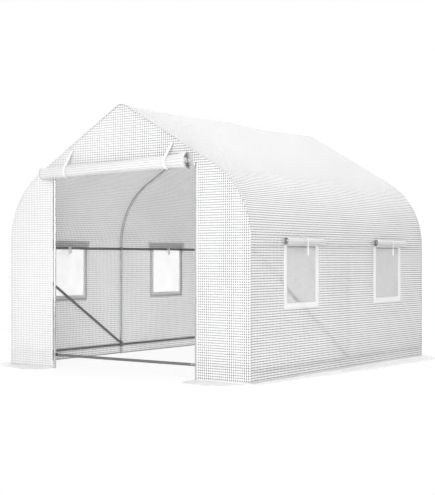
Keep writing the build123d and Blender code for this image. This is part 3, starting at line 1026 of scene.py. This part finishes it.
class GREENHOUSE_OT_window_borders(bpy.types.Operator):
    """Make the stitched borders folded round the four window openings"""

    bl_idname = "greenhouse.window_borders"
    bl_label = "Window borders"

    def execute(self, context):
        """A border's section starts outside, swells, folds round the opening and ends on the inside."""
        shares, lift = np.array(BORDER_SECTION).T[..., None]
        lift = lift / 1000
        for side, name in SIDES:
            rings = []
            for middle in WINDOW_MIDDLES:
                inner = (middle - WINDOW_HALF, WINDOW_FOOT, middle + WINDOW_HALF, WINDOW_HEAD)
                outer = (inner[0] - BORDER, inner[1] - BORDER, inner[2] + BORDER, WALL_HEIGHT)
                inside, outside, run = ring_walk(inner, outer, 1 / 26)
                yz = inside + (outside - inside) * shares[..., None]
                pucker = 0.0004 * ripples(run, shares, 71 + side, 0.09, 2.0)
                x = side * (HALF_WIDTH + lift + pucker * (lift > 0.001))
                points = np.concatenate([x[..., None], yz], axis=-1)
                outward = np.where(lift > 0.0004, side, -side)[..., None] * np.array([1, 0, 0])
                cut = np.stack([run + 0 * x, shares * BORDER + 0 * x], axis=-1)
                rings.append(surface(points, cut, outward + 0 * points, wrap=True))
            piece = make_piece(
                f"{name}_window_bindings", rings, (binding(),), (f"{name}_window_borders",), 0.0007
            )
        return {"FINISHED"}


class GREENHOUSE_OT_screens(bpy.types.Operator):
    """Make the netting screens in the four windows"""

    bl_idname = "greenhouse.screens"
    bl_label = "Window netting"

    def execute(self, context):
        """A screen is a flat grid held at its edges, with a shallow slack between."""
        a, b = np.meshgrid(np.linspace(-1, 1, 29), np.linspace(0, 1, 31), indexing="ij")
        margin = 0.0005
        for side, name in SIDES:
            nets = []
            for middle in WINDOW_MIDDLES:
                slack = 0.0016 * (1 - a**2) * 4 * b * (1 - b) * (1 + 0.5 * ripples(a, b, 81 + side, 0.7, 0.6))
                x = side * (HALF_WIDTH - 0.0012 - slack)
                y = middle + a * (WINDOW_HALF - margin)
                z = WINDOW_FOOT + margin + b * (WINDOW_HEAD - WINDOW_FOOT - 2 * margin)
                cut = np.stack([y, z], axis=-1)
                nets.append(surface(np.stack([x, y, z], axis=-1), cut, (side, 0, 0)))
            piece = make_piece(
                f"{name}_window_netting",
                nets,
                (material_named("window_netting", screen_material),),
                (f"{name}_window_screens",),
                0.0004,
            )
        return {"FINISHED"}


class GREENHOUSE_OT_window_rolls(bpy.types.Operator):
    """Make the rolled-up window covers above the four windows"""

    bl_idname = "greenhouse.window_rolls"
    bl_label = "Window rolls"

    def execute(self, context):
        """Each cover is a small spiral whose sheet leaves its back upwards, flat on the wall."""
        sheets = context.scene.greenhouse_sheets
        for side, name in SIDES:
            rolls = []
            for seed, middle in zip((91 + side, 95 + side), WINDOW_MIDDLES):
                own, cut, length = spiral_roll(
                    length=WINDOW_ROLL_LENGTH, core=0.007, outer=WINDOW_ROLL_RADIUS - ROLLED_FILM,
                    turns=sheets.window_turns, squash=(1.0, 1.0), tail=0.03, seed=seed, crease=0.0035,
                    steps=26, flare=0.22,
                )
                along, toward, up = np.moveaxis(own, -1, 0)
                points = [side * (WINDOW_ROLL_X - toward), middle - along, WINDOW_ROLL_Z + up]
                facing = roll_facing(own)
                facing = np.stack([-side * facing[..., 1], facing[..., 0], facing[..., 2]], axis=-1)
                rolls.append(surface(np.stack(points, axis=-1), cut, facing))
            piece = make_piece(
                f"{name}_window_covers",
                rolls,
                (film("rolled_film_sheet"),),
                (f"{name}_window_rolls",),
                ROLLED_FILM,
            )
        return {"FINISHED"}


class GREENHOUSE_OT_window_ties(bpy.types.Operator):
    """Make the tapes that hold the window covers up, outside and inside"""

    bl_idname = "greenhouse.window_ties"
    bl_label = "Window tapes"

    def execute(self, context):
        """An outer tape goes over its roll and hangs in front; inner ones hang behind the window's head."""
        path, away = tape_path(
            WINDOW_ROLL_RADIUS, lift=0.0004, rise=WINDOW_TAPE_RISE, end_turn=pi, tail=0.12, squash=(1.0, 1.0)
        )
        outer, inner = [], []
        for index, (side, middle) in enumerate(wall_windows()):
            axes = (0, side, 0), (-side, 0, 0)
            centre = (side * WINDOW_ROLL_X, middle, WINDOW_ROLL_Z)
            strip, length = tape_surface(path, away, TAPE_WIDTH, centre, *axes, 101 + index)
            outer.append(strip)
            for number, (offset, long, curl) in enumerate(INNER_TAPES):
                drop = np.linspace(0, INNER_TAPE_LENGTH, 24)
                reach = 0.0012 + 0.012 * ease(drop / INNER_TAPE_LENGTH) * curl
                line = np.stack([reach, -drop * long], axis=-1)
                facing = np.stack([np.ones_like(drop), 0 * drop], axis=-1)
                centre = (side * INNER_TAPE_X, middle + offset, INNER_TAPE_TOP)
                seed = 111 + 2 * index + number
                inner.append(tape_surface(line, facing, INNER_TAPE_WIDTH, centre, *axes, seed)[0])
        piece = make_piece("window_tie_tapes", outer, (tape(),), ("window_ties",), TAPE_THICKNESS)

        piece = make_piece("inner_tie_tapes", inner, (tape(),), (), TAPE_THICKNESS)
        return {"FINISHED"}


# Frame

# Turned profiles of the fastenings: radius, and height above the lug or post that they sit on
WASHER = ((0.0, 0.0), (0.0085, 0.0), (0.0088, 0.0004), (0.0088, 0.0012), (0.0085, 0.0016), (0.0, 0.0016))
NUT = (
    (0.0, 0.0014), (0.0066, 0.0014), (0.0074, 0.0022), (0.0074, 0.0058), (0.0064, 0.0068), (0.0, 0.0068),
)
BOLT_TIP = ((0.0, 0.006), (0.003, 0.006), (0.003, 0.0105), (0.0022, 0.0115), (0.0, 0.0115))
BOLT_HEAD = (
    (0.0, -0.001), (0.0078, -0.001), (0.008, 0.0004), (0.0068, 0.0026), (0.004, 0.0038), (0.0, 0.0042),
)


def lathe(profile, sides, centre, axis, phase=0.0):
    """A turned form: each profile point (radius, height) carried round a level axis on some sides."""
    axis = np.asarray(axis, float)
    first = np.array([0, 0, 1.0])
    second = np.cross(axis, first)
    angle = phase + np.arange(sides) * 2 * pi / sides
    ring = np.cos(angle)[:, None] * first + np.sin(angle)[:, None] * second
    profile = np.asarray(profile, float)
    points = profile[:, 0, None, None] * ring[None] + profile[:, 1, None, None] * axis + np.asarray(centre)
    step = np.gradient(profile, axis=0)
    away = step[:, 1, None, None] * ring[None] - step[:, 0, None, None] * axis
    cut = np.stack(np.broadcast_arrays(profile[:, 1, None], angle[None] * 0.01), axis=-1)
    return surface(points, cut, away + 0 * points, wrap=True)


def bolt_places():
    """Where each bolt passes: a point on the post's axis, the direction inward, the number of lugs that it
    holds, and whether its head shows.
    """
    places = []
    for side, _ in SIDES:
        inward = (-side, 0, 0)
        for height in (UPPER_RAIL, LOWER_RAIL):
            for y, lugs in ((-HOOP_Y, 1), (0, 2), (HOOP_Y, 1)):
                places.append(((side * POST_X, y, height), inward, lugs, False))
        places.append(((side * POST_X, -HOOP_Y, UPPER_RAIL - BRACE_BOLT_OFFSET), inward, 2, False))
        places.append(((side * POST_X, 0, LOWER_RAIL + BRACE_BOLT_OFFSET), inward, 3, False))
    for end, header in ((-1, "door_header_bar"), (1, "rear_header_bar")):
        inward = (0, -end, 0)
        y = end * HOOP_Y
        height = middle_height(header)
        for side, _ in SIDES:
            places.append(((side * DOOR_POST_X, y, height), inward, 1, end < 0))
            places.append(((side * DOOR_POST_X, y, SILL_HEIGHT), inward, 2, end < 0))
            places.append(((side * POST_X, y, SILL_HEIGHT), inward, 1, False))
    return places


class GREENHOUSE_OT_bolts(bpy.types.Operator):
    """Make the bolts, washers and nuts at the frame's flattened ends"""

    bl_idname = "greenhouse.bolts"
    bl_label = "Frame bolts"

    def execute(self, context):
        """Washer, six-sided nut and bolt tip are turned on one axis; the door posts also get domed heads."""
        turned = []
        for index, (centre, inward, lugs, bare) in enumerate(bolt_places()):
            centre, inward = np.asarray(centre), np.asarray(inward, float)
            base = centre + inward * (TUBE_RADIUS + LAP + lugs * LUG_STEP)
            turned.append(lathe(WASHER, 20, base, inward))
            turned.append(lathe(NUT, 6, base, inward, 0.4 * index))
            turned.append(lathe(BOLT_TIP, 12, base, inward))
            if bare:
                turned.append(lathe(BOLT_HEAD, 18, centre - inward * (TUBE_RADIUS - 0.0002), -inward))
        bolts = make_piece("frame_bolts", turned, (zinc("zinc_bolt"),))
        bolts.data.shade_flat()
        return {"FINISHED"}


class GREENHOUSE_OT_tubes(bpy.types.Operator):
    """Give the tubes their galvanized finish: painted light on glossy posts and bows, painted shade on rough
    rails and braces
    """

    bl_idname = "greenhouse.tubes"
    bl_label = "Tube finish"

    def execute(self, context):
        """Each shown CAD node's material is set by its name."""
        for name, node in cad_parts.items():
            if not node.hide_render:
                # Rails, braces and sills get the rough zinc painted darker, a painted shade on the same metal
                rough_shaded = any(word in name for word in ROUGH_SHADED_TUBES)
                node.data.materials.clear()
                node.data.materials.append(zinc("rough_zinc_painted_shade" if rough_shaded else "galvanized_steel"))
        return {"FINISHED"}


# Stage

# Name, watts, size, place and the point it looks at
LAMPS = (
    ("key_lamp", 500.0, 4.0, (3.6, -8.6, 2.4), (-0.2, 0, 0.8)),
    ("side_lamp", 40.0, 5.0, (8.0, -1.0, 3.5), (0, 0, 1.0)),
    ("top_lamp", 330.0, 6.0, (1.0, 0.5, 7.0), (0, 0, 1.0)),
    ("low_lamp", 300.0, 4.0, (-7.0, 0.3, 1.2), (0, 0, 0.8)),
    ("rear_lamp", 220.0, 5.0, (0.5, 8.5, 2.5), (0, 0, 1.0)),
)
WORLD_STRENGTH = 0.72
FLOOR_REACH = 40.0
CAMERA_PLACE = (6.2797, -8.5629, 1.0018)
CAMERA_YAW = radians(35.61)
CAMERA_LENS = 78.77
CAMERA_SHIFT = (-0.0396, 0.0215)
WHITE = (1, 1, 1, 1)


def put_in_scene(name, data):
    """A new object with the given data, in the scene."""
    holder = bpy.data.objects.new(name, data)
    bpy.context.scene.collection.objects.link(holder)
    return holder


def area_lamp(name, energy, size, place, aim):
    """A square soft lamp at a place, turned to look at a point."""
    lamp = bpy.data.lights.new(name, "AREA")
    lamp.energy, lamp.size = energy, size
    holder = put_in_scene(name, lamp)
    direction = np.asarray(aim, float) - np.asarray(place, float)
    yaw = np.arctan2(-direction[0], direction[1])
    dip = np.arctan2(np.hypot(direction[0], direction[1]), -direction[2])
    holder.location, holder.rotation_euler = place, (dip, 0, yaw)


def seen_white(tree, seen, plain):
    """Mix of two shaders: the seen one for camera, glossy and transmission rays, otherwise the plain one."""
    path = add_node(tree, "LightPath")
    seeing = calc(tree, "MAXIMUM", path.outputs["Is Camera Ray"], path.outputs["Is Glossy Ray"])
    seeing = calc(tree, "MAXIMUM", seeing, path.outputs["Is Transmission Ray"])
    return add_node(tree, "MixShader", {0: seeing, 1: plain, 2: seen}).outputs[0]


def studio_world():
    """An even white world, a little dimmer in what it lights than as it is seen."""
    world = bpy.data.worlds.new("studio")
    world.use_nodes = True
    tree = world.node_tree
    tree.nodes.clear()
    seen = add_node(tree, "Background", {"Color": WHITE, "Strength": 1.0}).outputs[0]
    plain = add_node(tree, "Background", {"Color": WHITE, "Strength": WORLD_STRENGTH}).outputs[0]
    output = add_node(tree, "OutputWorld")
    tree.links.new(seen_white(tree, seen, plain), output.inputs[0])
    return world


def floor_material():
    """Pale matt floor that is seen nearly white, and white far from the greenhouse."""
    material, tree, output = new_material("studio_floor")
    place = object_place(tree)
    cloud = clouds(tree, place, 0.8, 2.0)
    tone = blend_colours(tree, cloud, (0.88, 0.88, 0.88, 1), (0.9, 0.9, 0.9, 1))
    matt = add_node(tree, "BsdfDiffuse", {"Color": tone}).outputs[0]
    glow = add_node(tree, "Emission", {"Color": WHITE, "Strength": 1.0}).outputs[0]
    away = add_node(tree, "VectorMath", {0: place}, operation="LENGTH").outputs["Value"]
    bright = remap(tree, away, 2.6, 5.5, 0.88, 1.0)
    lit = add_node(tree, "MixShader", {0: bright, 1: matt, 2: glow}).outputs[0]
    tree.links.new(seen_white(tree, lit, matt), output.inputs[0])
    return material


class GREENHOUSE_OT_stage(bpy.types.Operator):
    """Make the pale floor, the soft studio light and the camera"""

    bl_idname = "greenhouse.stage"
    bl_label = "Stage"

    def execute(self, context):
        """A white room: an even world, large soft lamps, and a level camera a metre above the ground."""
        scene = context.scene
        scene.view_settings.view_transform = "Standard"
        scene.world = studio_world()

        r = FLOOR_REACH
        floor_mesh = bpy.data.meshes.new("studio_floor")
        floor_mesh.from_pydata([(-r, -r, 0), (r, -r, 0), (r, r, 0), (-r, r, 0)], [], [(0, 1, 2, 3)])
        floor_mesh.materials.append(floor_material())
        put_in_scene("studio_floor", floor_mesh)

        for lamp in LAMPS:
            area_lamp(*lamp)

        camera = bpy.data.cameras.new("viewpoint")
        camera.sensor_width = 36.0
        camera.lens = CAMERA_LENS
        camera.shift_x, camera.shift_y = CAMERA_SHIFT
        camera.clip_end = 200.0
        holder = put_in_scene("viewpoint", camera)
        holder.location = CAMERA_PLACE
        holder.rotation_euler = (radians(90), 0, CAMERA_YAW)
        scene.camera = holder
        return {"FINISHED"}


OPERATORS = (
    GREENHOUSE_OT_cover,
    GREENHOUSE_OT_ends,
    GREENHOUSE_OT_hems,
    GREENHOUSE_OT_skirt,
    GREENHOUSE_OT_door_roll,
    GREENHOUSE_OT_door_ties,
    GREENHOUSE_OT_window_borders,
    GREENHOUSE_OT_screens,
    GREENHOUSE_OT_window_rolls,
    GREENHOUSE_OT_window_ties,
    GREENHOUSE_OT_bolts,
    GREENHOUSE_OT_tubes,
    GREENHOUSE_OT_stage,
)


class GREENHOUSE_PT_sidebar(bpy.types.Panel):
    """Sizes, colours and steps of the greenhouse in the sidebar."""

    bl_label = "Greenhouse"
    bl_space_type = "VIEW_3D"
    bl_region_type = "UI"
    bl_category = "Greenhouse"

    def draw(self, context):
        """Lists the properties, then one button for each step."""
        for group in (context.scene.greenhouse_sheets, context.scene.greenhouse_finish):
            box = self.layout.box()
            for name in group.bl_rna.properties.keys():
                if name not in {"rna_type", "name"}:
                    box.prop(group, name)
        for operator in OPERATORS:
            self.layout.operator(operator.bl_idname)


CLASSES = (GREENHOUSE_PG_sheets, GREENHOUSE_PG_finish, *OPERATORS, GREENHOUSE_PT_sidebar)


def register():
    """Register the classes and hang the two property groups on the scene."""
    for cls in CLASSES:
        bpy.utils.register_class(cls)
    bpy.types.Scene.greenhouse_sheets = bpy.props.PointerProperty(type=GREENHOUSE_PG_sheets)
    bpy.types.Scene.greenhouse_finish = bpy.props.PointerProperty(type=GREENHOUSE_PG_finish)


def unregister():
    """Take the property groups and classes away again."""
    del bpy.types.Scene.greenhouse_finish
    del bpy.types.Scene.greenhouse_sheets
    for cls in reversed(CLASSES):
        bpy.utils.unregister_class(cls)


def main():
    """Build every piece and the stage in order."""
    register()
    for operator in OPERATORS:
        step = operator.bl_idname.split(".")[1]
        getattr(bpy.ops.greenhouse, step)()
    bpy.context.view_layer.update()


if __name__ == "__main__":
    main()
